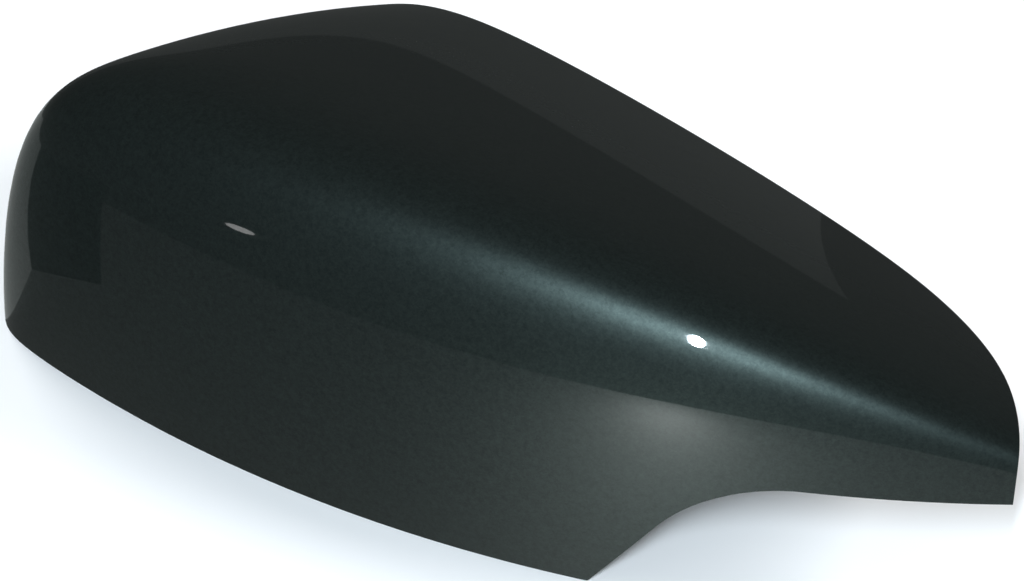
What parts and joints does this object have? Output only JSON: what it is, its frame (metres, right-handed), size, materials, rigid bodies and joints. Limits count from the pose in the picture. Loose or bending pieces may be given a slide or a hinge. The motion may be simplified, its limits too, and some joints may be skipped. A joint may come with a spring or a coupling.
{
  "type": "wing mirror cover",
  "caption": "Moulded front cover for a car's wing mirror: a domed, tapering shell with a foot notch in its lower wall, and snap hooks, tongues and locating pins inside.",
  "frame": {"origin": "on the plane the cover's rim rests on, under the middle of its bounding box", "axes": "+X runs along the cover from its outer end to its inner tip, +Y from the lower wall with the foot notch to the upper edge, and +Z out of the face, towards the front of the car"},
  "size_m": [0.251, 0.171, 0.0785],
  "materials": {
    "painted_shell": "very dark green metallic paint under clear coat on moulded ABS"
  },
  "bodies": {
    "root": {"mirror_cover": "painted_shell"}
  },
  "joints": []
}
